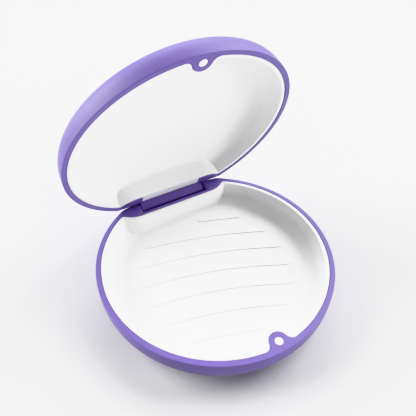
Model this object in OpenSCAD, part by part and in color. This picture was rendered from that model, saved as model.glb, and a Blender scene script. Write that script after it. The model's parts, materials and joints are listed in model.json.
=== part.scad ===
// Round case for orthodontic retainers: two soft-touch shells with white liners,
// a lid that turns on a pin at the back, and a pair of magnets in tabs at the front.
// Millimetres. Origin at the centre of the flat bottom, +Z up, hinge at +Y, tab at -Y.
// The lid's pieces are drawn shut and then turned open about the hinge axis.

/* [Case] */
// Outer radius of both halves at the rim
case_r = 41.8; // [38:0.1:48]
// Height of the base from its flat bottom to its rim
base_h = 12.8; // [11.5:0.1:18]
// Height of the lid from its rim to its crown
lid_h = 13.2; // [11:0.1:18]
// Squareness of the base's side: 2 is an ellipse, more is boxier
base_square = 4; // [3:0.1:5]
// Squareness of the lid's side
lid_square = 3.45; // [3:0.05:5]
// Height cut off the base's round bottom to make the flat that it stands on
foot_cut = 0.4; // [0.2:0.05:1]
// Wall of the two shells, which is also the width of their rims
shell_t = 1.8; // [1.4:0.1:2.2]
// Rounding of the outer edge of the two rims
rim_round = 0.5; // [0.2:0.05:0.8]
// Gap between the two rims with the lid shut
rim_gap = 0.3; // [0.2:0.05:0.6]

/* [Liners] */
// Wall of the two liners
liner_t = 1.3; // [1:0.1:1.6]
// Step from a shell's rim to the rim of its liner
liner_step = 0.25; // [0.2:0.05:0.8]
// Play between a liner and its shell
liner_play = 0.1; // [0.05:0.05:0.2]
// Height of the ring that carries the tray above the base's floor
rest_h = 1.7; // [1:0.1:2.5]
// Radius of that ring at the middle of its wall
rest_r = 20; // [12:0.5:24]
// Wall of that ring
rest_t = 1.6; // [1:0.1:3]

/* [Drain ribs] */
// Height of the ribs on the tray's floor
rib_h = 0.4; // [0.2:0.05:0.8]
// Width of a rib at the floor, from its steep front to the end of its long back
rib_w = 4; // [2:0.1:6]
// Width of the steep front of a rib
rib_front = 0.15; // [0.1:0.05:0.7]
// Distance from one rib to the next
rib_pitch = 8.5; // [7:0.5:12]
// Number of ribs on each side of the middle one
rib_pairs = 3; // [1:1:3]
// Radius that the middle rib bends to
rib_bend = 150; // [80:5:300]
// Turn of the ribs about the case's axis
rib_turn = 17; // [-30:1:30]
// Distance from the outer rim to the ends of the ribs
rib_margin = 12; // [10:0.5:20]

/* [Hinge] */
// Distance of the hinge axis inside the outer rim
hinge_inset = 6.4; // [6:0.1:7.5]
// Depth of the hinge axis below the base's rim
hinge_drop = 1.1; // [1:0.05:1.6]
// Opening angle of the lid as stored
lid_open = 68.1; // [0:0.1:70]
// Largest opening angle, where the two backs meet
lid_open_max = 70; // [70:1:85]
// Distance behind the hinge axis at which the base's back starts to slope
back_set = 0.6; // [0.4:0.05:1.6]
// Gap between the two backs with the lid fully open
back_gap = 0.2; // [0.15:0.05:0.4]
// Radius of the hinge pin
pin_r = 0.5; // [0.4:0.05:0.6]
// Radial play of the pin in the lid's knuckle
pin_play = 0.04; // [0.02:0.01:0.08]
// Length of the pin held in each ear of the base
pin_grip = 4.5; // [3:0.1:5]
// Radius of the knuckle on the lid
knuckle_r = 2.7; // [2.6:0.1:3]
// Length of the knuckle
knuckle_l = 27.8; // [20:0.2:30]
// Distance from the hinge axis to the knuckle's flat front
knuckle_front = 1.05; // [0.95:0.05:1.4]
// Distance from the hinge axis to the knuckle's flat underside
knuckle_low = 2.5; // [2:0.05:2.6]
// Rounding of the knuckle's lower front edge
knuckle_round = 0.9; // [0.3:0.1:1.2]
// Gap around the knuckle in its pocket
knuckle_gap = 0.4; // [0.3:0.05:0.6]
// Gap at each end of the knuckle
knuckle_end_gap = 0.4; // [0.3:0.05:0.8]
// Distance from the hinge axis to the front of the trough before the knuckle
trough_front = 4.1; // [3.7:0.1:4.8]
// Rounding at the foot of the trough's front wall
trough_round = 1.5; // [0.3:0.1:2.5]
// Wall between the trough and the tray
hinge_wall = 1.25; // [1:0.05:2]
// Distance that the front of the lid's hinge housing stands behind the base's
lid_housing_set = 0.7; // [0:0.1:1.5]
// Width of the hinge housing beyond each end of the knuckle's pocket
ear_w = 10.5; // [9:0.1:12]
// Corner radius of the hinge housing
housing_corner = 9.5; // [6:0.1:11]
// Fillet where the hinge housing runs into the rim
housing_fillet = 1.8; // [1.7:0.1:3]
// Length of the lid's rim that laps each end of the knuckle
lap = 1.2; // [0.6:0.1:3]

/* [Closure] */
// Radius of the tab that holds a magnet
tab_r = 3.1; // [2.6:0.1:4]
// Distance of the tab's centre inside the inner edge of the rim
tab_inset = 1.6; // [1:0.1:2.2]
// Fillet where the tab runs into the rim
tab_fillet = 2.5; // [1.9:0.1:3]
// Radius of a magnet
magnet_r = 1.25; // [0.8:0.05:1.3]
// Thickness of a magnet
magnet_t = 2; // [1:0.1:4]
// Radius of the cap over a magnet
cap_r = 1.4; // [1.4:0.05:2]
// Thickness of the cap
cap_t = 0.6; // [0.4:0.05:1.2]
// Glue gap around a magnet and its cap
glue = 0.03; // [0.02:0.01:0.06]

/* [Hidden] */
$fn = 128;

purple = [0.62, 0.56, 0.83];
white = [0.95, 0.95, 0.95];
steel = [0.75, 0.76, 0.78];

// Steps of a dome's profile, and of an arc in an outline
dome_steps = 20;
arc_steps = 8;
// Reach of a cutting solid past the face that it cuts
over = 2;

// Heights of the two rims with the lid shut
base_rim = base_h;
lid_rim = base_h + rim_gap;
case_h = lid_rim + lid_h;

// Surfaces of the liners, as depths inside the outer dome
liner_out = shell_t + liner_play;
liner_in = liner_out + liner_t;
tray_under = shell_t + rest_h;
tray_floor = tray_under + liner_t;

// Hinge axis, and the backs that are cut away behind it
hinge_y = case_r - hinge_inset;
hinge_z = base_rim - hinge_drop;
back_angle = lid_open_max / 2;
base_back = hinge_y + back_set;
lid_back = hinge_y - back_set - (back_gap - rim_gap * cos(back_angle)) / sin(back_angle);

// Knuckle, its pocket, the trough before it and the housing around them
pocket_r = knuckle_r + knuckle_gap;
pocket_l = knuckle_l + 2 * knuckle_end_gap;
knuckle_y = hinge_y - knuckle_front;
notch_l = knuckle_l - 2 * lap;
trough_y = hinge_y - trough_front;
base_housing_y = trough_y - hinge_wall;
lid_housing_y = base_housing_y + lid_housing_set;
housing_w = pocket_l + 2 * ear_w;
pin_l = pocket_l + 2 * pin_grip;

// Tab, and the centre of the fillet between it and the rim
rim_in = case_r - shell_t;
tab_y = rim_in - tab_inset;
fillet_y = ((rim_in - tab_fillet)^2 - (tab_r + tab_fillet)^2 + tab_y^2) / (2 * tab_y);
fillet_x = sqrt((rim_in - tab_fillet)^2 - fillet_y^2);

// Field that the drain ribs fill
rib_field_r = case_r - rib_margin;
rib_field_y = base_housing_y - liner_in;

// A point of a dome's profile, a superellipse, at the parameter angle a
function dome_point(r, h, p, a) = [r * pow(cos(a), 2 / p), h * pow(sin(a), 2 / p)];

// The outward normal of that profile
function dome_normal(r, h, p, a) =
    let (n = [pow(cos(a), 2 - 2 / p) / r, pow(sin(a), 2 - 2 / p) / h])
    n / norm(n);

// The profile moved inwards by an inset, from the first step above the rim to the crown
function dome_profile(r, h, p, inset) = [
    for (i = [1:dome_steps])
        let (a = 90 * i / dome_steps)
        dome_point(r, h, p, a) - inset * dome_normal(r, h, p, a)
];

// Points of an arc
function arc(c, r, a0, a1) = [
    for (i = [0:arc_steps])
        let (a = a0 + (a1 - a0) * i / arc_steps)
        c + r * [cos(a), sin(a)]
];

// Points mirrored about the Y axis, in reverse order
function mirrored(points) = [for (i = [len(points) - 1:-1:0]) [-points[i][0], points[i][1]]];

// Rim of a shell, of a liner and of a hollow, from below the rim's face to the side
function shell_rim() = arc([case_r - rim_round, rim_round], rim_round, -90, 0);
function liner_rim(inset) = [[case_r - inset, 0]];
function hollow_rim(inset) = [[case_r - inset, -over], [case_r - inset, 0]];

// Centre of the fillet between the rim and the hinge housing's corner, which is round about c
function housing_fillet_centre(c) =
    let (far = rim_in - housing_fillet,
         near = housing_corner + housing_fillet,
         away = norm(c),
         along = (far^2 - near^2 + away^2) / (2 * away),
         across = sqrt(far^2 - along^2))
    (along * c + across * [c[1], -c[0]]) / away;

// Plan of a hinge housing with its front at y: a block that runs into the rim through two fillets
function housing_outline(y, grow) =
    let (c = [housing_w / 2 - housing_corner, y + housing_corner],
         f = housing_fillet_centre(c),
         at_rim = atan2(f[1], f[0]),
         at_block = atan2(c[1] - f[1], c[0] - f[0]),
         right = concat(arc(f, housing_fillet - grow, at_rim, at_block),
                        arc(c, housing_corner + grow, at_block - 180, -90)),
         out = case_r + over)
    concat([[right[0][0], out]], right, mirrored(right), [[-right[0][0], out]]);

// Plan of the tab: a round lobe that runs into the rim through two fillets
function tab_outline(grow) =
    let (r = tab_r + grow,
         f = tab_fillet - grow,
         at_rim = atan2(-fillet_y, fillet_x),
         at_tab = atan2(fillet_y - tab_y, -fillet_x),
         at_lobe = atan2(tab_y - fillet_y, fillet_x),
         right = arc([fillet_x, -fillet_y], f, at_rim, at_tab - 360 * (at_tab > 0 ? 1 : 0)),
         left = mirrored(right),
         out = -case_r - over)
    concat(right, arc([0, -tab_y], r, at_lobe, 180 - at_lobe), left,
           [[left[arc_steps][0], out], [right[0][0], out]]);

// Profile in the YZ plane carried along X
module along_x(length) {
    rotate([90, 0, 90])
        linear_extrude(length, center = true)
            children();
}

// Round bar on the hinge axis
module hinge_bar(r, length) {
    translate([0, hinge_y, hinge_z])
        rotate([0, 90, 0])
            cylinder(r = r, h = length, center = true);
}

// Solid dome that stands on its rim at z = 0
module dome(h, p, inset, rim) {
    rotate_extrude()
        polygon(concat([[0, rim[0][1]]], rim, dome_profile(case_r, h, p, inset)));
}

module lid_dome(inset, rim) {
    translate([0, 0, lid_rim])
        dome(lid_h, lid_square, inset, rim);
}

// The base's dome hangs down from its rim and is cut flat at the height of its floor
module base_dome(inset, floor_z, rim) {
    intersection() {
        translate([0, 0, base_rim])
            mirror([0, 0, 1])
                dome(base_h + foot_cut, base_square, inset, rim);
        translate([0, 0, floor_z])
            cylinder(r = case_r + over, h = base_h + over);
    }
}

// Upright prism as tall as the shut case and a little more
module upright() {
    translate([0, 0, -over])
        linear_extrude(case_h + 2 * over)
            children();
}

// The hinge housing with its front at y, and the tab. Their plans grow to make room for a liner
module keep_clear(y, grow) {
    upright()
        polygon(housing_outline(y, grow));
    upright()
        polygon(tab_outline(grow));
}

// The back of a half behind the hinge axis, cut off at an angle so that the lid can open
module back_cut(y, z, up) {
    reach = hinge_inset + over;
    along_x(2 * case_r)
        polygon([[y, z], [y + reach, z + up * reach * tan(back_angle)],
                 [y + reach, z - up * over], [y, z - up * over]]);
}

// Stepped hole for a magnet and its cap, from a tab's face into the shell
module magnet_hole(z, into) {
    translate([0, -tab_y, z]) {
        translate([0, 0, into * (cap_t + glue) / 2 - into * over / 2])
            cylinder(r = cap_r + glue, h = cap_t + glue + over, center = true);
        translate([0, 0, into * (cap_t + magnet_t + 2 * glue) / 2])
            cylinder(r = magnet_r + glue, h = cap_t + magnet_t + 2 * glue, center = true);
    }
}

module magnet_cap(z, into) {
    translate([0, -tab_y, z + into * cap_t / 2])
        cylinder(r = cap_r, h = cap_t, center = true);
}

module magnet(z, into) {
    translate([0, -tab_y, z + into * (cap_t + glue + magnet_t / 2)])
        cylinder(r = magnet_r, h = magnet_t, center = true);
}

// Pin holes in the base's ears: blind on the left, open on the right where the pin goes in
module ear_holes() {
    blind_end = -pin_l / 2 - glue;
    translate([blind_end, hinge_y, hinge_z])
        rotate([0, 90, 0])
            cylinder(r = pin_r, h = case_r - blind_end);
}

// Arched ribs on the tray's floor, with steep fronts that face the tab
module drain_ribs() {
    intersection() {
        translate([-rib_bend * sin(rib_turn), -rib_bend * cos(rib_turn), tray_floor])
            for (i = [-rib_pairs:rib_pairs])
                rotate_extrude()
                    translate([rib_bend + i * rib_pitch, 0])
                        polygon([[-rib_w / 2, -liner_t / 2], [-rib_w / 2, 0],
                                 [rib_front - rib_w / 2, rib_h],
                                 [rib_w / 2, 0], [rib_w / 2, -liner_t / 2]]);
        difference() {
            cylinder(r = rib_field_r, h = case_h);
            translate([-case_r, rib_field_y, -over])
                cube([2 * case_r, case_r, case_h + 2 * over]);
        }
    }
}

// Turns the shut lid open about the hinge axis
module opened() {
    translate([0, hinge_y, hinge_z])
        rotate([-lid_open, 0, 0])
            translate([0, -hinge_y, -hinge_z])
                children();
}

// Room behind an upright wall at y and above a floor at z, with a round corner between them
module behind_edge(length, y, z, r) {
    translate([-length / 2, y + r, z])
        cube([length, case_r, case_h]);
    translate([-length / 2, y, z + r])
        cube([length, case_r, case_h]);
    translate([0, y + r, z + r])
        rotate([0, 90, 0])
            cylinder(r = r, h = length, center = true);
}

// Barrel with a flat front and underside that hangs from the lid into the base's pocket
module knuckle() {
    intersection() {
        hinge_bar(knuckle_r, knuckle_l);
        behind_edge(2 * knuckle_l, knuckle_y, hinge_z - knuckle_low, knuckle_round);
    }
}

// Room for the knuckle in the base: round behind the hinge axis, with a trough before it
module pocket() {
    hinge_bar(pocket_r, pocket_l);
    intersection() {
        behind_edge(pocket_l, trough_y, hinge_z - pocket_r, trough_round);
        translate([-pocket_l, 0, 0])
            cube([2 * pocket_l, hinge_y, case_h]);
    }
}

// Outer half of the base, with the hinge ears, the knuckle's pocket and the closure tab
module base_shell() {
    color(purple)
        difference() {
            base_dome(0, 0, shell_rim());
            difference() {
                base_dome(shell_t, shell_t, hollow_rim(shell_t));
                keep_clear(base_housing_y, 0);
                translate([0, 0, shell_t])
                    difference() {
                        cylinder(r = rest_r + rest_t / 2, h = rest_h - liner_play);
                        cylinder(r = rest_r - rest_t / 2, h = rest_h);
                    }
            }
            back_cut(base_back, base_rim, -1);
            pocket();
            ear_holes();
            magnet_hole(base_rim, -1);
        }
}

// White tray with drain ribs on its floor
module base_liner() {
    color(white) {
        difference() {
            base_dome(liner_out, tray_under, liner_rim(liner_out));
            tray_hollow();
            keep_clear(base_housing_y, liner_play);
            translate([0, 0, base_rim - liner_step])
                cylinder(r = case_r, h = over);
        }
        drain_ribs();
    }
}

// Room inside the tray
module tray_hollow() {
    difference() {
        base_dome(liner_in, tray_floor, hollow_rim(liner_in));
        keep_clear(base_housing_y, liner_play + liner_t);
    }
}

module base_magnet() {
    color(steel)
        magnet(base_rim, -1);
}

module base_magnet_cap() {
    color(white)
        magnet_cap(base_rim, -1);
}

module hinge_pin() {
    color(steel)
        hinge_bar(pin_r, pin_l);
}

// Outer half of the lid, with the knuckle and the closure tab
module lid_shell() {
    color(purple)
        opened()
            difference() {
                union() {
                    difference() {
                        lid_dome(0, shell_rim());
                        difference() {
                            lid_dome(shell_t, hollow_rim(shell_t));
                            keep_clear(lid_housing_y, 0);
                        }
                        back_cut(lid_back, lid_rim, 1);
                        lip_notch(notch_l, knuckle_y, liner_step + liner_t + liner_play);
                    }
                    knuckle();
                }
                hinge_bar(pin_r + pin_play, pocket_l);
                magnet_hole(lid_rim, 1);
            }
}

// Block cut out of the lid's rim, in front of the knuckle, for the liner's lip
module lip_notch(length, end_y, depth) {
    start_y = lid_housing_y - liner_in;
    translate([-length / 2, start_y, lid_rim - over])
        cube([length, end_y - start_y, depth + over]);
}

// White lining of the lid, whose lip reaches over the hinge housing to the knuckle
module lid_liner() {
    color(white)
        opened()
            difference() {
                union() {
                    difference() {
                        lid_dome(liner_out, liner_rim(liner_out));
                        keep_clear(lid_housing_y, liner_play);
                    }
                    lip_notch(notch_l - 2 * liner_play, knuckle_y - liner_play, liner_step + liner_t);
                }
                difference() {
                    lid_dome(liner_in, hollow_rim(liner_in));
                    keep_clear(lid_housing_y, liner_play + liner_t);
                }
                translate([0, 0, lid_rim - over])
                    cylinder(r = case_r, h = over + liner_step);
            }
}

module lid_magnet() {
    color(steel)
        opened()
            magnet(lid_rim, 1);
}

module lid_magnet_cap() {
    color(white)
        opened()
            magnet_cap(lid_rim, 1);
}

base_shell();
base_liner();
base_magnet();
base_magnet_cap();
hinge_pin();
lid_shell();
lid_liner();
lid_magnet();
lid_magnet_cap();
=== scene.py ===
"""Looks of a round retainer case: two soft-touch shells with white liners, a pin hinge and a magnetic tab.

Each half is worked out in its own half frame, in millimetres: x and y as in the frame, and a depth
that starts at the half's rim and grows into the half. A half's place() method then puts the points
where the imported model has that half, and in metres.
"""

import json
import logging
import math
from abc import ABC, abstractmethod
from dataclasses import dataclass, field
from enum import Enum
from typing import Any, Optional, Sequence, Union

import bpy
import numpy as np
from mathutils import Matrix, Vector

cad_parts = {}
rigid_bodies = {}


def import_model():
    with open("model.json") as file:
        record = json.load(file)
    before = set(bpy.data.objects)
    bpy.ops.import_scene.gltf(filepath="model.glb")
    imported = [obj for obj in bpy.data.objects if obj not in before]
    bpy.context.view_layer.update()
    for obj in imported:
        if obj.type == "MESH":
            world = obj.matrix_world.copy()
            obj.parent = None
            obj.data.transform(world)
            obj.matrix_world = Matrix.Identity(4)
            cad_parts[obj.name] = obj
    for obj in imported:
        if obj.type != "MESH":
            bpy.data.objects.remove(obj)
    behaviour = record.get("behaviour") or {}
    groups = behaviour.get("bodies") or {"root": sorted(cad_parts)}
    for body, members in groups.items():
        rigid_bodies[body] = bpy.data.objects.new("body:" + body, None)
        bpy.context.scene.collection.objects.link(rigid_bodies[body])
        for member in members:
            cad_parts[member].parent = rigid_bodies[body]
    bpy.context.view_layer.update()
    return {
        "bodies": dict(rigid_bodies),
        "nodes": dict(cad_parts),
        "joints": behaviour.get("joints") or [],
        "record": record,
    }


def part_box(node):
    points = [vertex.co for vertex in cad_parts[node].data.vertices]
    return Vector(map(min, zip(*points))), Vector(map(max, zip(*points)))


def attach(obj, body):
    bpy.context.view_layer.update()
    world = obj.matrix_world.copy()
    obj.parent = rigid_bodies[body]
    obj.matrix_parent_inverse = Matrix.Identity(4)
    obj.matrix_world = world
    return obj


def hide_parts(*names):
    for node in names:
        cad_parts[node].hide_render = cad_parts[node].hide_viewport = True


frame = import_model()

LOG = logging.getLogger("retainer_case")
MM = 0.001
SHARP_ANGLE = math.radians(32)
NOISE_MIDDLE = 0.5

Array = np.ndarray
Number = Union[int, float]
Colour = tuple[float, float, float]


class Half(Enum):
    """The two bodies of the case, by their names in the frame."""

    BASE = "base"
    LID = "lid"


class Join(Enum):
    """How a second solid is worked into a first."""

    ADD = "UNION"
    CUT = "DIFFERENCE"


def arc(centre: Sequence[float], radius: float, start: float, end: float, count: int) -> tuple[Array, Array]:
    """Points of an arc in a plane: the centre plus the radius times (cos a, sin a).

    Args:
        centre: Centre of the arc.
        radius: Radius of the arc.
        start: First angle in radians.
        end: Last angle in radians.
        count: Number of points.

    Returns:
        The points, and the directions from the centre to them.
    """
    angle = np.linspace(start, end, count)
    out = np.stack([np.cos(angle), np.sin(angle)], axis=-1)
    return np.asarray(centre, float) + radius * out, out


def heading(vector: Array) -> float:
    """Angle of a plane vector from +X, in radians."""
    return math.atan2(vector[1], vector[0])


def corner(before: Array, at: Array, after: Array, steps: int) -> Array:
    """Rounded corner of a profile: (1-u)^2 before + 2u(1-u) at + u^2 after, for u from 0 to 1.

    Args:
        before: Points where the rounding starts, one per column.
        at: Points of the sharp corner.
        after: Points where the rounding ends.
        steps: Number of rows.

    Returns:
        Rows of points, as an array of rows by columns by three.
    """
    u = np.linspace(0.0, 1.0, steps)[:, None, None]
    return (1 - u) ** 2 * before + 2 * u * (1 - u) * at + u ** 2 * after


def with_depth(plan: Array, depth: Union[Array, float]) -> Array:
    """Plan points with a depth added as their third coordinate."""
    level = np.broadcast_to(np.asarray(depth, float), plan.shape[:-1])
    return np.concatenate([plan, level[..., None]], axis=-1)


def smooth_min(a: Array, b: Array, reach: float) -> Array:
    """The lower of two values, rounded where they are close: min(a, b) - (reach - |a - b|)^2 / (4 reach).

    Args:
        a: First values.
        b: Second values.
        reach: Difference from which the lower value is left as it is.

    Returns:
        The rounded minimum.
    """
    near = np.clip(reach - np.abs(a - b), 0.0, None)
    return np.minimum(a, b) - near ** 2 / (4 * reach)


@dataclass(frozen=True)
class Dome:
    """Round dome that hangs from its rim, with a superellipse as its side.

    At the angle a the side is at radius * cos(a)^(2/power) and height * sin(a)^(2/power).
    """

    radius: float
    height: float
    power: float
    samples: int = 800

    def table(self, inset: float = 0.0) -> tuple[Array, Array]:
        """The side from rim to crown, moved inwards along its normal.

        Args:
            inset: Distance inside the outer face.

        Returns:
            The radii and the depths of the points.
        """
        angle = 0.5 * np.pi * np.sin(0.5 * np.pi * np.linspace(0.0, 1.0, self.samples)) ** 2
        cos, sin = np.cos(angle).clip(0.0), np.sin(angle)
        power = 2 / self.power
        point = np.stack([self.radius * cos ** power, self.height * sin ** power])
        normal = np.stack([cos ** (2 - power) / self.radius, sin ** (2 - power) / self.height])
        radius, depth = point - inset * normal / np.linalg.norm(normal, axis=0)
        return radius, depth

    def radius_at(self, depth: Array, inset: float = 0.0) -> Array:
        """Radius of the inset side at a depth."""
        radius, level = self.table(inset)
        return np.interp(depth, level, radius)

    def depth_at(self, radius: Array, inset: float = 0.0) -> Array:
        """Depth of the inset side at a radius."""
        reach, depth = self.table(inset)
        return np.interp(radius, reach[::-1], depth[::-1])


@dataclass(frozen=True)
class CaseSizes:
    """Sizes of the case in millimetres and radians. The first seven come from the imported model."""

    case_r: float
    base_rim: float
    hinge_y: float
    hinge_z: float
    lid_open: float
    lid_open_max: float
    pin_end: float
    lid_h: float = 13.2
    base_square: float = 4.0
    lid_square: float = 3.45
    foot_cut: float = 0.4
    outer_set: float = 0.01
    rim_gap: float = 0.3
    shell_t: float = 1.8
    liner_t: float = 1.3
    liner_play: float = 0.1
    rest_h: float = 1.7
    pin_r: float = 0.5
    pin_play: float = 0.04
    back_set: float = 0.6
    back_gap: float = 0.2
    knuckle_r: float = 2.7
    knuckle_l: float = 27.8
    knuckle_front: float = 1.05
    knuckle_low: float = 2.5
    knuckle_round: float = 0.9
    knuckle_gap: float = 0.4
    knuckle_end_gap: float = 0.4
    trough_front: float = 4.1
    trough_round: float = 1.5
    hinge_wall: float = 1.25
    lid_housing_set: float = 0.7
    ear_w: float = 10.5
    housing_corner: float = 9.5
    housing_fillet: float = 1.8
    lap: float = 1.2
    tab_r: float = 3.1
    tab_inset: float = 1.6
    tab_fillet: float = 2.5
    magnet_r: float = 1.25
    magnet_t: float = 2.0
    cap_r: float = 1.35
    cap_t: float = 0.6
    glue: float = 0.03

    @classmethod
    def from_frame(cls, packed: dict[str, Any]) -> "CaseSizes":
        """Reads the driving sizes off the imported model's boxes and its hinge.


        Returns:
            The sizes of the case.
        """
        hinge = packed["joints"][0]
        shut, wide = hinge["range_deg"]
        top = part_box("base_shell")[1] / MM
        return cls(
            case_r=top.x,
            base_rim=top.z,
            hinge_y=hinge["pos_m"][1] / MM,
            hinge_z=hinge["pos_m"][2] / MM,
            lid_open=math.radians(-shut),
            lid_open_max=math.radians(wide - shut),
            pin_end=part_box("hinge_pin")[1].x / MM,
        )

    @property
    def lid_rim(self) -> float:
        """Height of the lid's rim with the lid shut."""
        return self.base_rim + self.rim_gap

    @property
    def rim_in(self) -> float:
        """Radius of the inner edge of a rim."""
        return self.case_r - self.shell_t

    @property
    def tab_y(self) -> float:
        """Distance of the tab's centre from the case's axis."""
        return self.rim_in - self.tab_inset

    @property
    def pocket_r(self) -> float:
        """Radius of the pocket that the knuckle turns in."""
        return self.knuckle_r + self.knuckle_gap

    @property
    def pocket_l(self) -> float:
        """Length of that pocket."""
        return self.knuckle_l + 2 * self.knuckle_end_gap

    @property
    def knuckle_y(self) -> float:
        """Place of the knuckle's flat front."""
        return self.hinge_y - self.knuckle_front

    @property
    def notch_l(self) -> float:
        """Length of the notch in the lid's rim."""
        return self.knuckle_l - 2 * self.lap

    @property
    def trough_y(self) -> float:
        """Place of the front wall of the trough before the knuckle."""
        return self.hinge_y - self.trough_front

    def housing_y(self, half: Half) -> float:
        """Place of the front of a half's hinge housing."""
        return self.trough_y - self.hinge_wall + (self.lid_housing_set if half is Half.LID else 0.0)

    @property
    def liner_out(self) -> float:
        """Depth of a liner's outer face inside the dome."""
        return self.shell_t + self.liner_play

    @property
    def liner_in(self) -> float:
        """Depth of a liner's inner face inside the dome."""
        return self.liner_out + self.liner_t


@dataclass(frozen=True)
class Border:
    """Inner edge of a rim in plan: the rim's circle, the hinge housing at the back and the tab in front.

    It is a chain of lines and tangent arcs from the middle of the back to the middle of the front on
    the +X side, mirrored for the other side. A grow moves the whole chain into the hollow.
    """

    sizes: CaseSizes
    housing_y: float
    front_columns: int = 12
    corner_columns: int = 16
    fillet_columns: int = 7
    rim_columns: int = 96
    tab_fillet_columns: int = 10
    tab_columns: int = 16

    def centres(self) -> dict[str, Array]:
        """Centres of the arcs of the +X side.

        A fillet touches two arcs, so its centre lies where two circles about their centres meet.

        Returns:
            Plan points by the names of the arcs.
        """
        s = self.sizes
        block = np.array([s.pocket_l / 2 + s.ear_w - s.housing_corner, self.housing_y + s.housing_corner])
        far, near = s.rim_in - s.housing_fillet, s.housing_corner + s.housing_fillet
        away = np.linalg.norm(block)
        along = (far ** 2 - near ** 2 + away ** 2) / (2 * away)
        across = math.sqrt(far ** 2 - along ** 2)
        toward = block / away
        fillet = along * toward + across * np.array([toward[1], -toward[0]])
        tab = np.array([0.0, -s.tab_y])
        reach = s.rim_in - s.tab_fillet
        y = (reach ** 2 - (s.tab_r + s.tab_fillet) ** 2 + s.tab_y ** 2) / (2 * s.tab_y)
        return {"block": block, "fillet": fillet, "tab": tab,
                "tab_fillet": np.array([math.sqrt(reach ** 2 - y ** 2), -y])}

    def side(self, grow: float) -> tuple[Array, Array]:
        """Points of the +X side from back to front, and their directions into the rim.

        Args:
            grow: Distance that the edge moves into the hollow.

        Returns:
            The plan points and the unit directions from the hollow into the rim.
        """
        s, c = self.sizes, self.centres()
        block, fillet, tab, tab_fillet = c["block"], c["fillet"], c["tab"], c["tab_fillet"]
        x = np.linspace(0.0, block[0], self.front_columns)
        front = np.stack([x, np.full_like(x, self.housing_y - grow)], axis=-1)
        turn = heading(tab - tab_fillet) - 2 * math.pi * (heading(tab - tab_fillet) > 0)
        arcs = [
            (block, s.housing_corner + grow, -math.pi / 2, heading(fillet - block), self.corner_columns, -1),
            (fillet, s.housing_fillet - grow, heading(block - fillet), heading(fillet),
             self.fillet_columns, 1),
            ((0, 0), s.rim_in - grow, heading(fillet), heading(tab_fillet), self.rim_columns, 1),
            (tab_fillet, s.tab_fillet - grow, heading(tab_fillet), turn, self.tab_fillet_columns, 1),
            (tab, s.tab_r + grow, heading(tab_fillet - tab), math.pi / 2, self.tab_columns, -1),
        ]
        points, into = [front], [np.tile([0.0, 1.0], (len(x), 1))]
        for centre, radius, start, end, count, sign in arcs:
            point, out = arc(centre, radius, start, end, count)
            points.append(point[1:])
            into.append(sign * out[1:])
        return np.concatenate(points), np.concatenate(into)

    def outer_angles(self) -> Array:
        """Angles, from the back round the +X side, of the outer rim's points that face the border's.

        Along the housing's front the points face each other squarely: x = radius * sin(angle). Round its
        corner they change over to facing along a radius, and at the tab they are evenly spaced.

        Returns:
            One angle for each point of the side.
        """
        edge, _ = self.side(0.0)
        radial = np.arctan2(edge[:, 0], edge[:, 1])
        square = np.arcsin(np.clip(edge[:, 0] / self.sizes.case_r, -1.0, 1.0))
        index = np.arange(len(edge))
        share = np.clip((index - self.front_columns + 1) / (self.corner_columns - 1), 0.0, 1.0)
        angle = (1 - share) * square + share * radial
        tab_start = len(edge) - self.tab_fillet_columns - self.tab_columns + 1
        angle[tab_start:] = np.linspace(angle[tab_start], math.pi, len(edge) - tab_start)
        return angle

    @staticmethod
    def mirrored(values: Array) -> Array:
        """The +X side's rows followed by their mirror images, as one closed ring."""
        other = values[-2:0:-1] * np.array([-1.0, 1.0])
        return np.concatenate([values, other])

    def ring(self, grow: float) -> tuple[Array, Array]:
        """The closed border and its directions into the rim, for a grow."""
        points, into = self.side(grow)
        return self.mirrored(points), self.mirrored(into)

    def outer_ring(self) -> Array:
        """Unit plan directions of the outer rim's points."""
        angle = self.outer_angles()
        return self.mirrored(np.stack([np.sin(angle), np.cos(angle)], axis=-1))


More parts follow.
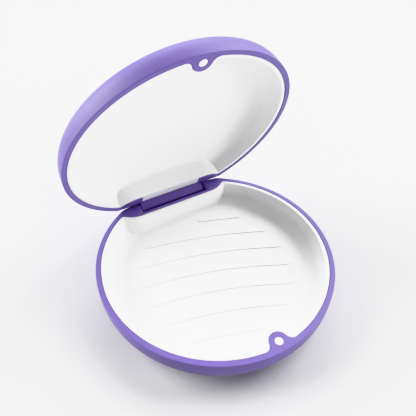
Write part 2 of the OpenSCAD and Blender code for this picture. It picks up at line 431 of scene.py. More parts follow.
class Solid:
    """Closed surface on a grid of rows by columns, with a pole at each end."""

    def __init__(self, rows: Array, first: Optional[Array] = None, last: Optional[Array] = None) -> None:
        """Keeps the grid and its poles.

        Args:
            rows: Points in metres, rows by columns by three, closed round the columns.
            first: Pole before the first row, or None for the middle of that row.
            last: Pole after the last row, or None for the middle of that row.
        """
        self.rows = rows
        self.first = rows[0].mean(axis=0) if first is None else first
        self.last = rows[-1].mean(axis=0) if last is None else last

    def vertices(self) -> Array:
        """All points: the first pole, the grid and the last pole."""
        return np.concatenate([self.first[None], self.rows.reshape(-1, 3), self.last[None]])

    def faces(self) -> tuple[Array, Array]:
        """Quads of the grid and triangles at the poles, turned so that they face outwards.

        Returns:
            The quads and the triangles, as rows of point numbers.
        """
        count, around = self.rows.shape[:2]
        index = 1 + np.arange(count * around).reshape(count, around)
        after = np.roll(index, -1, axis=1)
        quads = np.stack([index[:-1], index[1:], after[1:], after[:-1]], axis=-1).reshape(-1, 4)
        end = np.full(around, 1 + count * around)
        start = np.zeros(around, int)
        fans = np.concatenate([np.stack([start, index[0], after[0]], axis=-1),
                               np.stack([end, after[-1], index[-1]], axis=-1)])
        if self.volume(quads, fans) < 0:
            quads, fans = quads[:, ::-1], fans[:, ::-1]
        return quads, fans

    def volume(self, quads: Array, fans: Array) -> float:
        """Signed volume: a sixth of the sum of a . (b x c) over the triangles.

        Args:
            quads: Four point numbers a row, each split into two triangles.
            fans: Three point numbers a row.

        Returns:
            The volume, which is negative where the faces point inwards.
        """
        triangles = np.concatenate([quads[:, [0, 1, 2]], quads[:, [0, 2, 3]], fans])
        a, b, c = np.moveaxis(self.vertices()[triangles], 1, 0)
        return float(np.einsum("ij,ij->i", a, np.cross(b, c)).sum() / 6)

    def build(self, name: str) -> bpy.types.Object:
        """Puts the surface into a mesh object at the origin.

        Args:
            name: Name of the object.

        Returns:
            The new object, linked to the scene.
        """
        quads, fans = self.faces()
        points = self.vertices()
        mesh = bpy.data.meshes.new(name)
        loops = np.concatenate([quads.ravel(), fans.ravel()])
        sizes = np.concatenate([np.full(len(quads), 4), np.full(len(fans), 3)])
        starts = np.concatenate([[0], np.cumsum(sizes)[:-1]])
        mesh.vertices.add(len(points))
        mesh.vertices.foreach_set("co", points.astype(np.float32).ravel())
        mesh.loops.add(len(loops))
        mesh.loops.foreach_set("vertex_index", loops.astype(np.int32))
        mesh.polygons.add(len(sizes))
        mesh.polygons.foreach_set("loop_start", starts.astype(np.int32))
        mesh.update(calc_edges=True)
        mesh.validate()
        piece = bpy.data.objects.new(name, mesh)
        bpy.context.scene.collection.objects.link(piece)
        return piece


def work_in(piece: bpy.types.Object, solid: Solid, join: Join) -> None:
    """Adds a second solid to a piece, or cuts it out, and keeps the result as the piece's mesh.

    Args:
        piece: Piece that is changed.
        solid: Solid that is worked in.
        join: Whether it is added or cut out.
    """
    tool = solid.build("tool")
    step = piece.modifiers.new("work_in", "BOOLEAN")
    step.operation = join.value
    step.solver = "MANIFOLD"
    step.object = tool
    graph = bpy.context.evaluated_depsgraph_get()
    mesh = bpy.data.meshes.new_from_object(piece.evaluated_get(graph))
    piece.modifiers.clear()
    spent = [piece.data, tool.data]
    piece.data = mesh
    bpy.data.objects.remove(tool)
    for old in spent:
        bpy.data.meshes.remove(old)


def soften(piece: bpy.types.Object) -> None:
    """Shades a piece smooth, apart from edges that turn by more than the sharp angle."""
    piece.data.shade_smooth()
    piece.data.set_sharp_from_angle(angle=SHARP_ANGLE)


class Wire:
    """One output of a node, with operators that add Math nodes."""

    def __init__(self, graph: "Graph", socket: bpy.types.NodeSocket) -> None:
        """Keeps the socket and the graph that it belongs to."""
        self.graph = graph
        self.socket = socket

    def __radd__(self, other: Number) -> "Wire":
        """Sum, with the number first."""
        return self.graph.math("ADD", other, self)

    def __rmul__(self, other: Number) -> "Wire":
        """Product, with the number first."""
        return self.graph.math("MULTIPLY", other, self)

    def __sub__(self, other: Number) -> "Wire":
        """Difference."""
        return self.graph.math("SUBTRACT", self, other)


Value = Union[Wire, Number]
Inputs = dict[Union[str, int], Any]


class Graph:
    """Node tree of one material, which ends in one Principled shader."""

    def __init__(self, name: str) -> None:
        """Makes an empty material with an output and a Principled shader.

        Args:
            name: Name of the material.
        """
        self.material = bpy.data.materials.new(name)
        self.material.use_nodes = True
        self.tree = self.material.node_tree
        self.tree.nodes.clear()
        self.shader = self.tree.nodes.new("ShaderNodeBsdfPrincipled")
        output = self.tree.nodes.new("ShaderNodeOutputMaterial")
        self.feed(output, {"Surface": Wire(self, self.shader.outputs[0])})

    def feed(self, node: bpy.types.Node, inputs: Inputs) -> None:
        """Sets a node's sockets, or links wires to them.

        Args:
            node: The node.
            inputs: Values or wires of its sockets, by name or index.
        """
        for key, value in inputs.items():
            if isinstance(value, Wire):
                self.tree.links.new(value.socket, node.inputs[key])
            else:
                node.inputs[key].default_value = value

    def wire(self, kind: str, inputs: Inputs, output: Union[str, int] = 0, **settings: str) -> Wire:
        """Adds one node and takes one of its outputs.

        Args:
            kind: Type of the node.
            inputs: Values or wires of its sockets, by name or index.
            output: Name or index of the output.
            settings: Properties of the node, which are set before its sockets.

        Returns:
            The output.
        """
        node = self.tree.nodes.new(kind)
        for key, value in settings.items():
            setattr(node, key, value)
        self.feed(node, inputs)
        return Wire(self, node.outputs[output])

    def math(self, operation: str, a: Value, b: Value) -> Wire:
        """A Math node on two values."""
        return self.wire("ShaderNodeMath", {0: a, 1: b}, operation=operation)

    def noise(self, scale: float, detail: float) -> Wire:
        """Noise from 0 to 1 on Object coordinates, so that the scale is in features per metre."""
        place = self.wire("ShaderNodeTexCoord", {}, "Object")
        return self.wire("ShaderNodeTexNoise", {"Vector": place, "Scale": scale, "Detail": detail})

    def blend(self, share: Wire, a: Colour, b: Colour) -> Wire:
        """A colour from a to b by a share from 0 to 1."""
        return self.wire("ShaderNodeMix", {0: share, 6: (*a, 1.0), 7: (*b, 1.0)}, 2, data_type="RGBA")

    def bump(self, height: Wire, strength: float, depth: float) -> Wire:
        """A Bump node for the Normal input, with its depth in metres."""
        return self.wire("ShaderNodeBump", {"Height": height, "Strength": strength, "Distance": depth})

    def finish(self, inputs: Inputs) -> bpy.types.Material:
        """Feeds the shader's own sockets and hands out the material."""
        self.feed(self.shader, inputs)
        return self.material


@dataclass(frozen=True)
class Finish:
    """A colour that drifts from deep to light, with a fine grain in its roughness and its normal.

    Scales are features per metre, details are numbers of finer layers and depths are in metres.
    """

    name: str
    deep: Colour
    light: Colour
    rough: float
    drift_scale: float
    drift_detail: float
    grain_scale: float
    grain_strength: float
    grain_depth: float
    grain_detail: float = 2.0
    rough_swing: float = 0.12
    ior: float = 1.5
    specular: float = 0.5
    metallic: float = 0.0
    sheen: float = 0.0
    sheen_rough: float = 0.5

    def material(self) -> bpy.types.Material:
        """Builds the finish: roughness = rough + rough_swing * (grain - middle of the noise).

        Returns:
            The material.
        """
        g = Graph(self.name)
        drift = g.noise(self.drift_scale, self.drift_detail)
        grain = g.noise(self.grain_scale, self.grain_detail)
        return g.finish({
            "IOR": self.ior, "Specular IOR Level": self.specular, "Metallic": self.metallic,
            "Sheen Weight": self.sheen, "Sheen Roughness": self.sheen_rough,
            "Base Color": g.blend(drift, self.deep, self.light),
            "Roughness": self.rough + self.rough_swing * (grain - NOISE_MIDDLE),
            "Normal": g.bump(grain, self.grain_strength, self.grain_depth),
        })


@dataclass(frozen=True)
class SoftTouch(Finish):
    """Matt soft-touch coat: a faintly clouded colour over a very fine grain."""

    name: str = "soft_touch_violet"
    deep: Colour = (0.149, 0.106, 0.342)
    light: Colour = (0.160, 0.114, 0.361)
    rough: float = 0.52
    rough_swing: float = 0.14
    drift_scale: float = 90.0
    drift_detail: float = 3.0
    grain_scale: float = 5200.0
    grain_strength: float = 0.25
    grain_depth: float = 0.02 * MM
    ior: float = 1.45
    specular: float = 0.45
    sheen: float = 0.08
    sheen_rough: float = 0.45


@dataclass(frozen=True)
class SatinPlastic(Finish):
    """Satin white moulding: almost even, with a slow drift of tone and a fine moulded grain."""

    name: str = "satin_white"
    deep: Colour = (0.886, 0.886, 0.886)
    light: Colour = (0.902, 0.902, 0.901)
    rough: float = 0.36
    drift_scale: float = 70.0
    drift_detail: float = 2.0
    grain_scale: float = 2600.0
    grain_strength: float = 0.2
    grain_depth: float = 0.012 * MM
    ior: float = 1.48
    specular: float = 0.45


@dataclass(frozen=True)
class Plated(Finish):
    """Bare or plated metal, with fine marks that change its colour, roughness and normal together."""

    drift_scale: float = 1800.0
    drift_detail: float = 4.0
    grain_scale: float = 1800.0
    grain_detail: float = 4.0
    grain_strength: float = 0.15
    grain_depth: float = 0.01 * MM
    metallic: float = 1.0


@dataclass(frozen=True)
class PaleFloor:
    """Matt pale floor with a slow drift of tone."""

    name: str = "pale_floor"
    deep: Colour = (0.66, 0.66, 0.66)
    light: Colour = (0.67, 0.67, 0.67)
    drift_scale: float = 3.0
    drift_detail: float = 1.0
    rough: float = 0.7
    specular: float = 0.2

    def material(self) -> bpy.types.Material:
        """Builds the floor's finish.

        Returns:
            The material.
        """
        g = Graph(self.name)
        drift = g.noise(self.drift_scale, self.drift_detail)
        return g.finish({"Specular IOR Level": self.specular, "Roughness": self.rough,
                         "Base Color": g.blend(drift, self.deep, self.light)})


@dataclass(frozen=True)
class Finishes:
    """The materials of the case."""

    shell: bpy.types.Material
    liner: bpy.types.Material
    cap: bpy.types.Material
    magnet: bpy.types.Material
    pin: bpy.types.Material

    @classmethod
    def make(cls) -> "Finishes":
        """Builds every finish once.

        Returns:
            The materials.
        """
        nickel = Plated("nickel", deep=(0.60, 0.58, 0.55), light=(0.72, 0.70, 0.67), rough=0.24)
        steel = Plated("drawn_steel", deep=(0.50, 0.51, 0.53), light=(0.66, 0.67, 0.69), rough=0.28)
        return cls(
            shell=SoftTouch().material(),
            liner=SatinPlastic().material(),
            cap=SatinPlastic(name="smooth_white", rough=0.24, grain_depth=0.004 * MM).material(),
            magnet=nickel.material(),
            pin=steel.material(),
        )


@dataclass
class CaseHalf(ABC):
    """One half of the case: a shell, its liner, and the magnet and cap in its tab.

    Lengths are in millimetres. Rows and columns are numbers of points, and shares are parts of a length.
    """

    sizes: CaseSizes
    finishes: Finishes
    half: Half
    liner_step: float = 0.1
    outer_round: float = 0.15
    inner_round: float = 0.2
    lip_outer_round: float = 0.1
    lip_inner_round: float = 0.32
    crease_round: float = 0.12
    crease_margin_share: float = 0.1
    liner_fillet: float = 1.3
    fillet_share: float = 0.4
    wall_blend: float = 0.6
    blend_fade: float = 1.0
    hole_bevel: float = 0.12
    magnet_bevel: float = 0.12
    cap_edge: float = 0.22
    cap_crown: float = 0.03
    cap_shares: tuple[float, ...] = (0.2, 0.45, 0.7)
    cut_over: float = 1.0
    edge_passes: int = 40
    outer_rows: int = 72
    land_rows: int = 9
    corner_rows: int = 6
    wall_rows: int = 22
    floor_rows: int = 34
    round_rows: int = 5
    round_columns: int = 64
    small_round_columns: int = 12
    border: Border = field(init=False)

    def __post_init__(self) -> None:
        """Sets up the plan."""
        self.border = Border(self.sizes, self.sizes.housing_y(self.half))

    @property
    @abstractmethod
    def dome(self) -> Dome:
        """Outer dome of this half."""

    @property
    @abstractmethod
    def back_y(self) -> float:
        """Where the rim starts to slope away behind the hinge axis."""

    @property
    @abstractmethod
    def hinge_depth(self) -> float:
        """Depth of the hinge axis in the half frame."""

    @property
    @abstractmethod
    def foot_depth(self) -> float:
        """Depth of the outer flat or crown."""

    @abstractmethod
    def floor_depth(self, inset: float) -> float:
        """Depth of the flat floor inside the dome at an inset, or of the crown."""

    @abstractmethod
    def shoulder_radius(self, inset: float) -> float:
        """Radius at which a plain stretch of wall gives way to the floor or crown."""

    @abstractmethod
    def place(self, points: Array) -> Array:
        """Takes half-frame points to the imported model's place, in metres."""

    @abstractmethod
    def build(self) -> None:
        """Builds and dresses the pieces of this half."""

    @property
    def has_foot(self) -> bool:
        """Whether a flat foot cuts the dome off before its crown."""
        return self.foot_depth < self.dome.height

    @property
    def axis(self) -> tuple[float, float]:
        """The hinge axis as a (y, depth) point."""
        return self.sizes.hinge_y, self.hinge_depth

    def add(self, name: str, solid: Solid) -> bpy.types.Object:
        """Builds a piece from a solid whose points are in the half frame."""
        return self.placed(solid).build(name)

    def placed(self, solid: Solid) -> Solid:
        """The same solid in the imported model's place."""
        return Solid(self.place(solid.rows), self.place(solid.first), self.place(solid.last))

    def dress(self, piece: bpy.types.Object, material: bpy.types.Material, node: str, slot: str) -> None:
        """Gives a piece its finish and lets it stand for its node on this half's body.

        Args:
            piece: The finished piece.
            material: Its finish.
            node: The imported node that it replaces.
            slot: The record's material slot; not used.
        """
        soften(piece)
        piece.data.materials.clear()
        piece.data.materials.append(material)
        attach(piece, self.half.value)
        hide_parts(node)
        LOG.info("%s: %d faces on %s", piece.name, len(piece.data.polygons), self.half.value)

    def back_slope(self, y: Array) -> Array:
        """Depth of the rim's face at y: a soft ramp, (v + sqrt(v^2 + k^2)) / 2, behind the hinge axis."""
        rise = (y - self.back_y) * math.tan(self.sizes.lid_open_max / 2)
        return 0.5 * (rise + np.sqrt(rise ** 2 + self.crease_round ** 2)) * (y > 0)

    def outer_edge(self) -> tuple[Array, Array, Array]:
        """The shell's outer edge, where the dome's side meets the rim's face.

        The depth is found by repeating depth = back_slope(y at that depth), which settles quickly.

        Returns:
            Plan directions, radii and depths, one per column.
        """
        out = self.border.outer_ring()
        depth = np.zeros(len(out))
        for _ in range(self.edge_passes):
            radius = self.dome.radius_at(depth)
            depth = self.back_slope(radius * out[:, 1])
        return out, self.dome.radius_at(depth), depth

    def outer_side(self, out: Array, edge_depth: Array) -> Array:
        """The dome's outside from the foot to just under the outer edge, in even steps of length.

        A crown's own row would be a single point, so it is left to the pole.

        Args:
            out: Plan directions of the columns.
            edge_depth: Depth of the outer edge in each column.

        Returns:
            Rows of points.
        """
        radius, depth = self.dome.table()
        length = np.concatenate([[0.0], np.cumsum(np.hypot(np.diff(radius), np.diff(depth)))])
        foot = np.interp(self.foot_depth, depth, length)
        edge = np.interp(edge_depth, depth, length) + self.outer_round
        share = np.linspace(0.0, 1.0, self.outer_rows)[:, None]
        at = foot + (edge - foot) * share
        reach, level = np.interp(at, length, radius), np.interp(at, length, depth)
        side = with_depth(reach[..., None] * out, level)
        return side if self.has_foot else side[1:]

    def foot_flat(self, out: Array) -> Array:
        """The flat under the foot: rings at even shares of the foot's radius.

        Args:
            out: Plan directions of the columns.

        Returns:
            Rows of points from near the middle outwards.
        """
        reach = float(self.dome.radius_at(self.foot_depth))
        share = np.linspace(0.0, 1.0, self.land_rows)[1:-1, None]
        return with_depth((reach * share * np.ones(len(out)))[..., None] * out, self.foot_depth)

    def rim_face(self, edge: Array, inner: Array) -> Array:
        """The rim's face from the outer edge to the inner edge, with its rows gathered at the back's crease.

        Args:
            edge: Outer edge in plan.
            inner: Start of the rounding of the inner edge in plan.

        Returns:
            Rows of points, from where the outer rounding ends.
        """
        span = inner - edge
        start = self.outer_round / np.linalg.norm(span, axis=-1)
        with np.errstate(divide="ignore", invalid="ignore"):
            crease = np.where(edge[:, 1] > self.back_y, (self.back_y - edge[:, 1]) / span[:, 1], 0.5)
        crease = np.clip(crease, start + self.crease_margin_share, 1 - self.crease_margin_share)
        u = np.linspace(0.0, 1.0, self.land_rows)[:, None]
        share = np.concatenate([start + (crease - start) * np.sin(0.5 * np.pi * u),
                                crease + (1 - crease) * (1 - np.cos(0.5 * np.pi * u[1:]))])
        plan = edge + share[..., None] * span
        return with_depth(plan, self.back_slope(plan[..., 1]))

    def bowl(self, grow: float, inset: float, start: float, fillet: float) -> tuple[Array, Array]:
        """Inner face of a shell, or either face of a liner, from its rim down to its middle.

        The wall at a depth is at the lower of the border's radius and the inset dome's radius, and it
        turns through a fillet into the flat floor or the dome's crown.

        Args:
            grow: Distance that the border moves into the hollow.
            inset: Distance inside the outer dome.
            start: Depth where the wall starts.
            fillet: Size of the fillet at the foot of the wall.

        Returns:
            Rows of points from the rim inwards, and the pole in the middle.
        """
        edge, _ = self.border.ring(grow)
        reach = np.linalg.norm(edge, axis=-1)
        out = edge / reach[:, None]
        away = self.sizes.rim_in - grow - reach
        limit = reach + self.wall_blend * np.clip(1 - away / self.blend_fade, 0.0, 1.0)
        floor = self.floor_depth(inset)

        def wall(depth: Array) -> Array:
            """Radius of the wall at a depth."""
            return smooth_min(limit + 0 * depth, self.dome.radius_at(depth, inset), self.wall_blend)

        def bed(radius: Array) -> Array:
            """Depth of the floor or crown at a radius."""
            return np.minimum(self.dome.depth_at(radius, inset), floor)

        split = np.minimum(limit, self.shoulder_radius(inset))
        foot = bed(split)
        turn = np.minimum(fillet, self.fillet_share * (foot - start))
        foot_r = wall(foot)
        v = np.linspace(0.0, 1.0, self.wall_rows)[:, None]
        depth = start + (foot - turn - start) * v
        rows = [with_depth(wall(depth)[..., None] * out, depth)]
        before, after = rows[0][-1], with_depth((foot_r - turn)[:, None] * out, bed(foot_r - turn))
        rows.append(corner(before, with_depth(foot_r[:, None] * out, foot), after, self.corner_rows + 2)[1:])
        radius = (foot_r - turn) * np.linspace(1.0, 0.0, self.floor_rows)[1:-1, None]
        rows.append(with_depth(radius[..., None] * out, bed(radius)))
        return np.concatenate(rows), np.array([0.0, 0.0, float(bed(np.array(0.0)))])

    def shell(self) -> Solid:
        """The shell as one closed surface: foot, outside, outer edge, rim face, inner edge and bowl.

        Returns:
            The surface in the half frame.
        """
        s = self.sizes
        out, radius, depth = self.outer_edge()
        edge = radius[:, None] * out
        border, into = self.border.ring(0.0)
        inner = border + self.inner_round * into
        side, face = self.outer_side(out, depth), self.rim_face(edge, inner)
        down = with_depth(border, self.inner_round)
        bowl, middle = self.bowl(0.0, s.shell_t, self.inner_round, self.liner_fillet)
        rows = [
            self.foot_flat(out) if self.has_foot else side[:0],
            side,
            corner(side[-1], with_depth(edge, depth), face[0], self.corner_rows)[1:-1],
            face,
            corner(face[-1], with_depth(border, 0.0), down, self.corner_rows)[1:-1],
            bowl,
        ]
        return Solid(np.concatenate(rows), np.array([0.0, 0.0, self.foot_depth]), middle)

    def liner(self) -> Solid:
        """The liner as one closed surface: underside, rounded lip and the face that shows.

        Returns:
            The surface in the half frame.
        """
        s = self.sizes
        level = self.liner_step
        play, inner_grow = s.liner_play, s.liner_play + s.liner_t
        outer, into = self.border.ring(play)
        inner, _ = self.border.ring(inner_grow)
        under, pole = self.bowl(play, s.liner_out, level + self.lip_outer_round, self.liner_fillet)
        face, middle = self.bowl(inner_grow, s.liner_in, level + self.lip_inner_round, self.liner_fillet)
        rows = [
            under[::-1],
            corner(under[0], with_depth(outer, level), with_depth(outer - self.lip_outer_round * into, level),
                   self.corner_rows)[1:],
            corner(with_depth(inner + self.lip_inner_round * into, level), with_depth(inner, level), face[0],
                   self.corner_rows)[:-1],
            face,
        ]
        return Solid(np.concatenate(rows), pole, middle)

    def lathe(self, profile: Sequence[tuple[float, float]], y: float) -> Solid:
        """A profile of (radius, depth) points turned about an upright axis at x = 0.

        Args:
            profile: Points from the first pole to the last.
            y: Place of the axis.

        Returns:
            The closed surface.
        """
        angle = np.linspace(0.0, 2 * np.pi, self.round_columns, endpoint=False)
        ring = np.stack([np.cos(angle), np.sin(angle)], axis=-1)
        radius, depth = np.array(profile, float).T
        plan = radius[:, None, None] * ring + np.array([0.0, y])
        return Solid(with_depth(plan, np.broadcast_to(depth[:, None], plan.shape[:-1])))

    def bar(self, loop: Array, stations: Array, sink: Optional[Array] = None) -> Solid:
        """A closed (y, depth) loop carried along X, drawn in towards its middle by a sink at each station.

        Args:
            loop: Points of the loop.
            stations: X of each copy of the loop.
            sink: How far each copy is drawn in, or None.

        Returns:
            The closed surface.
        """
        middle = 0.5 * (loop.min(axis=0) + loop.max(axis=0))
        arm = loop - middle
        reach = np.linalg.norm(arm, axis=-1, keepdims=True)
        inward = np.zeros(len(stations)) if sink is None else sink
        drawn = middle + arm * (1 - inward[:, None, None] / reach)
        x = np.broadcast_to(stations[:, None, None], drawn.shape[:-1] + (1,))
        return Solid(np.concatenate([x, drawn], axis=-1))

    def round_loop(self, radius: float) -> Array:
        """A circle round the hinge axis as a (y, depth) loop."""
        loop, _ = arc(self.axis, radius, 0.0, 2 * np.pi, self.round_columns + 1)
        return loop[:-1]

    def magnet_hole(self) -> Solid:
        """Stepped hole for the magnet and its cap, with a small bevel that starts above its mouth.

        Returns:
            The solid that is cut out, in the half frame.
        """
        s, bevel = self.sizes, self.hole_bevel
        wide, narrow = s.cap_r + 2 * s.glue, s.magnet_r + s.glue
        step, end = s.cap_t + s.glue, s.cap_t + s.magnet_t + 2 * s.glue
        return self.lathe([(wide + 2 * bevel, -bevel), (wide, bevel), (wide, step),
                           (narrow, step), (narrow, end)], -s.tab_y)

    def magnet_cap(self) -> Solid:
        """Cap over the magnet: a disc with a quarter round as its edge and a faint parabola as its crown.

        Returns:
            The surface in the half frame.
        """
        s, edge, crown = self.sizes, self.cap_edge, self.cap_crown
        angle = np.linspace(0.0, 0.5 * np.pi, self.round_rows)
        rim = [(s.cap_r - edge + edge * math.sin(a), crown + edge - edge * math.cos(a)) for a in angle]
        dome = [(s.cap_r * share, crown * share ** 2) for share in self.cap_shares]
        return self.lathe([*dome, *rim, (s.cap_r, s.cap_t)], -s.tab_y)

    def magnet(self) -> Solid:
        """Disc magnet under the cap, with a plated bevel at each end.

        Returns:
            The surface in the half frame.
        """
        s, bevel = self.sizes, self.magnet_bevel
        top = s.cap_t + s.glue
        end = top + s.magnet_t
        return self.lathe([(s.magnet_r - bevel, top), (s.magnet_r, top + bevel), (s.magnet_r, end - bevel),
                           (s.magnet_r - bevel, end)], -s.tab_y)

    def build_closure(self) -> None:
        """Adds the magnet and its cap."""
        body = self.half.value
        self.dress(self.add(f"{body}_magnet_disc", self.magnet()), self.finishes.magnet,
                   f"{body}_magnet", "magnet")
        self.dress(self.add(f"{body}_cap_disc", self.magnet_cap()), self.finishes.cap,
                   f"{body}_magnet_cap", "white_cap")


@dataclass
class BaseHalf(CaseHalf):
    """The base: it stands on a flat foot, holds the tray and carries the hinge pin in two ears."""

    half: Half = Half.BASE
    mouth_round: float = 0.2
    rib_h: float = 0.4
    rib_w: float = 4.0
    rib_front: float = 0.15
    rib_pitch: float = 8.5
    rib_pairs: int = 3
    rib_bend: float = 150.0
    rib_turn: float = math.radians(17)
    rib_margin: float = 12.0
    rib_sink: float = 0.02
    rib_root_share: float = 0.6
    rib_back_shares: tuple[tuple[float, float], ...] = ((-0.4, 0.7), (0.3, 0.35))
    rib_end_share: float = 0.35
    rib_fade_share: float = 0.08
    rib_rows: int = 90
    pin_bevel: float = 0.15

    @property
    def dome(self) -> Dome:
        """Outer dome, which reaches below the foot by the cut."""
        s = self.sizes
        return Dome(s.case_r - s.outer_set, s.base_rim + s.foot_cut, s.base_square)

    @property
    def hinge_depth(self) -> float:
        """Depth of the hinge axis below the base's rim."""
        return self.sizes.base_rim - self.sizes.hinge_z

    @property
    def back_y(self) -> float:
        """Where the base's back starts to slope down."""
        return self.sizes.hinge_y + self.sizes.back_set

    @property
    def foot_depth(self) -> float:
        """Depth of the flat that the case stands on."""
        return self.sizes.base_rim

    def floor_depth(self, inset: float) -> float:
        """Depth of the shell's floor, of the tray's underside or of the tray's floor.

        Args:
            inset: Distance inside the outer dome, which says which of them is meant.

        Returns:
            The depth below the rim.
        """
        s = self.sizes
        rest = s.rest_h - s.liner_play if inset > s.shell_t else 0.0
        return s.base_rim - inset - rest

    def shoulder_radius(self, inset: float) -> float:
        """Radius at which the wall meets the flat floor."""
        return float(self.dome.radius_at(self.floor_depth(inset), inset))

    def place(self, points: Array) -> Array:
        """The base hangs down from its rim: z is the rim's height less the depth."""
        return np.stack([points[..., 0], points[..., 1], self.sizes.base_rim - points[..., 2]], axis=-1) * MM

    def pocket(self) -> Solid:
        """Room for the knuckle: round behind the hinge axis, upright in front, with a round foot.

        Returns:
            The solid that is cut out, in the half frame.
        """
        s, e = self.sizes, self.sizes.trough_round
        floor = self.hinge_depth + s.pocket_r
        back, _ = arc(self.axis, s.pocket_r, 0.5 * math.pi, -0.5 * math.pi, self.round_columns)
        foot, _ = arc((s.trough_y + e, floor - e), e, math.pi, 0.5 * math.pi, self.small_round_columns)
        loop = np.concatenate([[[s.trough_y, back[-1, 1]]], foot, back])
        return self.bar(loop, np.array([-0.5, 0.5]) * s.pocket_l)

    def pocket_mouth(self) -> Solid:
        """Rounding of the pocket's edges: a rectangle that widens to the rim's face by a quarter round.

        Returns:
            The solid that is cut out, in the half frame.
        """
        s, e = self.sizes, self.mouth_round
        depth = np.concatenate([[-self.cut_over], np.linspace(0.0, e, self.round_rows)])
        wider = e - np.sqrt(np.clip(e ** 2 - (e - depth.clip(0.0)) ** 2, 0.0, None))
        x = s.pocket_l / 2 + wider
        front = s.trough_y - wider
        back = np.full_like(x, s.hinge_y)
        ring = np.stack([np.stack([x, front], -1), np.stack([x, back], -1),
                         np.stack([-x, back], -1), np.stack([-x, front], -1)], axis=1)
        return Solid(with_depth(ring, np.broadcast_to(depth[:, None], ring.shape[:-1])))

    def rib(self, index: int) -> Solid:
        """One drain rib: a steep front and a long back, carried along an arc and drawn down at both ends.

        The arcs share one hub in front of the case, and each ends where it leaves the ribbed round, or
        where it would come to the hinge housing.

        Args:
            index: Number of the rib, from the middle one.

        Returns:
            The closed surface.
        """
        s, turn, half = self.sizes, self.rib_turn, self.rib_w / 2
        field_r, bend = s.case_r - self.rib_margin, self.rib_bend + index * self.rib_pitch
        hub = -self.rib_bend * np.array([math.sin(turn), math.cos(turn)])
        spread = math.acos((self.rib_bend ** 2 + bend ** 2 - field_r ** 2) / (2 * self.rib_bend * bend))
        level = (s.housing_y(self.half) - s.liner_in - hub[1]) / (bend + half)
        start = max(turn - spread, math.acos(min(1.0, level)))
        u = np.linspace(0.0, 1.0, self.rib_rows)[:, None]
        fade = np.sin(0.5 * np.pi * np.clip(np.minimum(u, 1 - u) / self.rib_fade_share, 0.0, 1.0))
        back_at, back_h = np.array(self.rib_back_shares).T
        across = np.concatenate([[-half, -half, self.rib_front - half], back_at * half, [half, half]])
        root = -self.rib_root_share
        height = np.concatenate([[root, 0.0, 1.0], back_h, [0.0, root]]) * self.rib_h
        lift = np.where(height > 0, height * fade, height) - self.rib_sink
        angle = start + (turn + spread - start) * u
        reach = bend + across * (self.rib_end_share + (1 - self.rib_end_share) * fade)
        return Solid(np.stack([hub[0] + reach * np.sin(angle), hub[1] + reach * np.cos(angle),
                               self.floor_depth(s.liner_in) - lift], axis=-1))

    def hinge_pin(self) -> Solid:
        """Drawn pin with a bevel at each end.

        Returns:
            The surface in the half frame.
        """
        s, bevel = self.sizes, self.pin_bevel
        stations = np.array([-s.pin_end, bevel - s.pin_end, s.pin_end - bevel, s.pin_end])
        return self.bar(self.round_loop(s.pin_r), stations, np.array([bevel, 0.0, 0.0, bevel]))

    def build(self) -> None:
        """Builds and dresses the pieces of the base."""
        s = self.sizes
        shell = self.add("base_shell_moulding", self.shell())
        pin_hole = np.array([-s.pin_end - s.glue, s.case_r])
        for tool in (self.pocket(), self.pocket_mouth(),
                     self.bar(self.round_loop(s.pin_r + s.glue), pin_hole), self.magnet_hole()):
            work_in(shell, self.placed(tool), Join.CUT)
        self.dress(shell, self.finishes.shell, "base_shell", "soft_touch_shell")
        tray = self.add("base_tray", self.liner())
        for index in range(-self.rib_pairs, self.rib_pairs + 1):
            work_in(tray, self.placed(self.rib(index)), Join.ADD)
        self.dress(tray, self.finishes.liner, "base_liner", "white_liner")
        self.dress(self.add("hinge_pin_rod", self.hinge_pin()), self.finishes.pin, "hinge_pin", "pin_steel")
        self.build_closure()


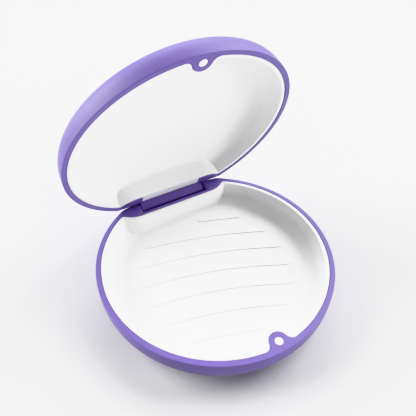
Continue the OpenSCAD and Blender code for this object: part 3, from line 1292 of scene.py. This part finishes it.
@dataclass
class LidHalf(CaseHalf):
    """The lid: it turns on the pin by a knuckle that hangs into the base's pocket."""

    half: Half = Half.LID
    liner_step: float = 0.3
    end_round: float = 0.3
    lip_end_round: float = 0.12
    lip_root_share: float = 0.6
    shoulder_share: float = 0.8

    @property
    def dome(self) -> Dome:
        """Outer dome of the lid."""
        s = self.sizes
        return Dome(s.case_r - s.outer_set, s.lid_h - s.outer_set, s.lid_square)

    @property
    def hinge_depth(self) -> float:
        """Depth of the hinge axis, which lies outside the lid."""
        return self.sizes.hinge_z - self.sizes.lid_rim

    @property
    def back_y(self) -> float:
        """Where the lid's back starts to slope up, so that the back gap is left when it is fully open."""
        s, slope = self.sizes, self.sizes.lid_open_max / 2
        return s.hinge_y - s.back_set - (s.back_gap - s.rim_gap * math.cos(slope)) / math.sin(slope)

    @property
    def foot_depth(self) -> float:
        """Depth of the crown."""
        return self.dome.height

    def floor_depth(self, inset: float) -> float:
        """Depth of the crown inside the dome."""
        return self.dome.height - inset

    def shoulder_radius(self, inset: float) -> float:
        """Radius at which the lid's side has turned into its crown."""
        return self.shoulder_share * self.sizes.case_r

    def place(self, points: Array) -> Array:
        """The lid rises from its rim and is then turned open about the hinge axis.

        Args:
            points: Half-frame points in millimetres.

        Returns:
            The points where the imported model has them, in metres.
        """
        s = self.sizes
        y, z = points[..., 1] - s.hinge_y, s.lid_rim + points[..., 2] - s.hinge_z
        cos, sin = math.cos(s.lid_open), math.sin(s.lid_open)
        return np.stack([points[..., 0], s.hinge_y + cos * y + sin * z,
                         s.hinge_z - sin * y + cos * z], axis=-1) * MM

    def knuckle(self) -> Solid:
        """Bar with a flat front and underside, a round back on the hinge axis and rounded ends.

        Returns:
            The surface in the half frame.
        """
        s, e = self.sizes, self.sizes.knuckle_round
        under = self.hinge_depth - s.knuckle_low
        low = -math.asin(s.knuckle_low / s.knuckle_r)
        back, _ = arc(self.axis, s.knuckle_r, low, 0.5 * math.pi, self.round_columns)
        front, _ = arc((s.knuckle_y + e, under + e), e, math.pi, 1.5 * math.pi, self.small_round_columns)
        loop = np.concatenate([[[s.knuckle_y, back[-1, 1]]], front, back])
        edge, angle = self.end_round, np.linspace(0.0, 0.5 * np.pi, self.round_rows)
        end, drawn = s.knuckle_l / 2 - edge + edge * np.sin(angle), edge * (1 - np.cos(angle))
        return self.bar(loop, np.concatenate([-end[::-1], end]), np.concatenate([drawn[::-1], drawn]))

    def notch(self) -> Solid:
        """Block that is cut from the rim in front of the knuckle, for the liner's lip.

        Returns:
            The solid that is cut out, in the half frame.
        """
        s, top = self.sizes, -self.cut_over
        deep = self.liner_step + s.liner_t + s.liner_play
        front = s.housing_y(self.half) - s.liner_in
        loop = np.array([[front, top], [s.knuckle_y, top], [s.knuckle_y, deep], [front, deep]])
        return self.bar(loop, np.array([-0.5, 0.5]) * s.notch_l)

    def lip(self) -> Solid:
        """The liner's lip, which laps the notch and ends in a rounded edge at the knuckle.

        Returns:
            The solid that is added to the liner, in the half frame.
        """
        s, e = self.sizes, self.lip_end_round
        near = s.housing_y(self.half) - self.lip_root_share * s.liner_t
        far = s.knuckle_y - s.liner_play
        low, high = self.liner_step, self.liner_step + s.liner_t
        edge = np.array([[far, low]])
        soft = corner(edge - [e, 0.0], edge, edge + [0.0, e], self.corner_rows)[:, 0]
        loop = np.concatenate([[[near, low]], soft, [[far, high], [near, high]]])
        return self.bar(loop, np.array([-1.0, 1.0]) * (s.notch_l / 2 - s.liner_play))

    def build(self) -> None:
        """Builds and dresses the pieces of the lid."""
        s = self.sizes
        shell = self.add("lid_shell_moulding", self.shell())
        work_in(shell, self.placed(self.knuckle()), Join.ADD)
        bore = np.array([-0.5, 0.5]) * s.pocket_l
        for tool in (self.notch(), self.bar(self.round_loop(s.pin_r + s.pin_play), bore), self.magnet_hole()):
            work_in(shell, self.placed(tool), Join.CUT)
        self.dress(shell, self.finishes.shell, "lid_shell", "soft_touch_shell")
        lining = self.add("lid_lining", self.liner())
        work_in(lining, self.placed(self.lip()), Join.ADD)
        self.dress(lining, self.finishes.liner, "lid_liner", "white_liner")
        self.build_closure()


@dataclass(frozen=True)
class Lamp:
    """One soft studio light, which shines from its place towards its aim."""

    name: str
    power: float
    spread: float
    place: tuple[float, float, float]
    aim: tuple[float, float, float] = (0.0, 0.0, 0.02)

    def build(self) -> None:
        """Adds the lamp as a sun whose angle is the spread in degrees."""
        light = bpy.data.lights.new(self.name, "SUN")
        light.energy = self.power
        light.angle = math.radians(self.spread)
        lamp = bpy.data.objects.new(self.name, light)
        lamp.location = self.place
        aim = Vector(self.aim) - Vector(self.place)
        lamp.rotation_euler = aim.to_track_quat("-Z", "Y").to_euler()
        bpy.context.scene.collection.objects.link(lamp)


@dataclass(frozen=True)
class Studio:
    """Pale floor, soft light and the camera of the photograph, whose image is 416 pixels square."""

    image_px: float = 416.0
    focal_px: float = 430.25
    centre_px: tuple[float, float] = (199.73, 185.72)
    azimuth: float = math.radians(-28.311)
    elevation: float = math.radians(40.905)
    distance: float = 143.04 * MM
    target: tuple[float, float, float] = (-0.962 * MM, 9.516 * MM, 37.61 * MM)
    clip_near: float = 1 * MM
    view_transform: str = "Khronos PBR Neutral"
    floor_side: float = 6.0
    backdrop: float = 1.4
    lamps: tuple[Lamp, ...] = (
        Lamp("left_key", 5.8, 45.0, (-0.6, 0.6, 0.42)),
        Lamp("right_key", 4.2, 45.0, (0.78, 0.1, 0.62)),
        Lamp("back_key", 1.9, 45.0, (0.3, 0.7, 0.6)),
        Lamp("top_front", 0.25, 45.0, (-0.2, -0.45, 0.87)),
        Lamp("front_fill", 2.1, 24.0, (0.68, -0.69, 0.20)),
    )

    def build_camera(self) -> None:
        """Places the camera. The shift sets the optical centre, as a share of the image's side."""
        data = bpy.data.cameras.new("camera")
        data.lens = data.sensor_width * self.focal_px / self.image_px
        data.shift_x = (self.image_px / 2 - self.centre_px[0]) / self.image_px
        data.shift_y = (self.centre_px[1] - self.image_px / 2) / self.image_px
        data.clip_start = self.clip_near
        camera = bpy.data.objects.new("camera", data)
        flat = math.cos(self.elevation)
        back = Vector((math.sin(self.azimuth) * flat, -math.cos(self.azimuth) * flat,
                       math.sin(self.elevation)))
        camera.location = Vector(self.target) + self.distance * back
        camera.rotation_euler = (-back).to_track_quat("-Z", "Y").to_euler()
        bpy.context.scene.collection.objects.link(camera)
        bpy.context.scene.camera = camera

    def build_floor(self) -> None:
        """Adds the floor as a plain square at the height that the case stands on."""
        side = self.floor_side / 2
        corners = [(-side, -side, 0.0), (side, -side, 0.0), (side, side, 0.0), (-side, side, 0.0)]
        mesh = bpy.data.meshes.new("floor")
        mesh.from_pydata(corners, [], [(0, 1, 2, 3)])
        mesh.materials.append(PaleFloor().material())
        floor = bpy.data.objects.new("floor", mesh)
        bpy.context.scene.collection.objects.link(floor)

    def build_light(self) -> None:
        """Adds the lamps, and a pale backdrop past the floor's edge that lights nothing itself."""
        world = bpy.data.worlds.new("studio")
        bpy.context.scene.world = world
        world.use_nodes = True
        backdrop = world.node_tree.nodes["Background"]
        backdrop.inputs["Color"].default_value = (1.0, 1.0, 1.0, 1.0)
        backdrop.inputs["Strength"].default_value = self.backdrop
        world.cycles_visibility.diffuse = False
        world.cycles_visibility.glossy = False
        for lamp in self.lamps:
            lamp.build()

    def build(self) -> None:
        """Builds the camera, the floor and the light."""
        bpy.context.scene.view_settings.view_transform = self.view_transform
        self.build_camera()
        self.build_floor()
        self.build_light()


def main() -> None:
    """Builds the studio and the two halves of the case, in order."""
    logging.basicConfig(level=logging.INFO, format="%(name)s: %(message)s")
    Studio().build()
    sizes, finishes = CaseSizes.from_frame(frame), Finishes.make()
    BaseHalf(sizes, finishes).build()
    LidHalf(sizes, finishes).build()


if __name__ == "__main__":
    main()
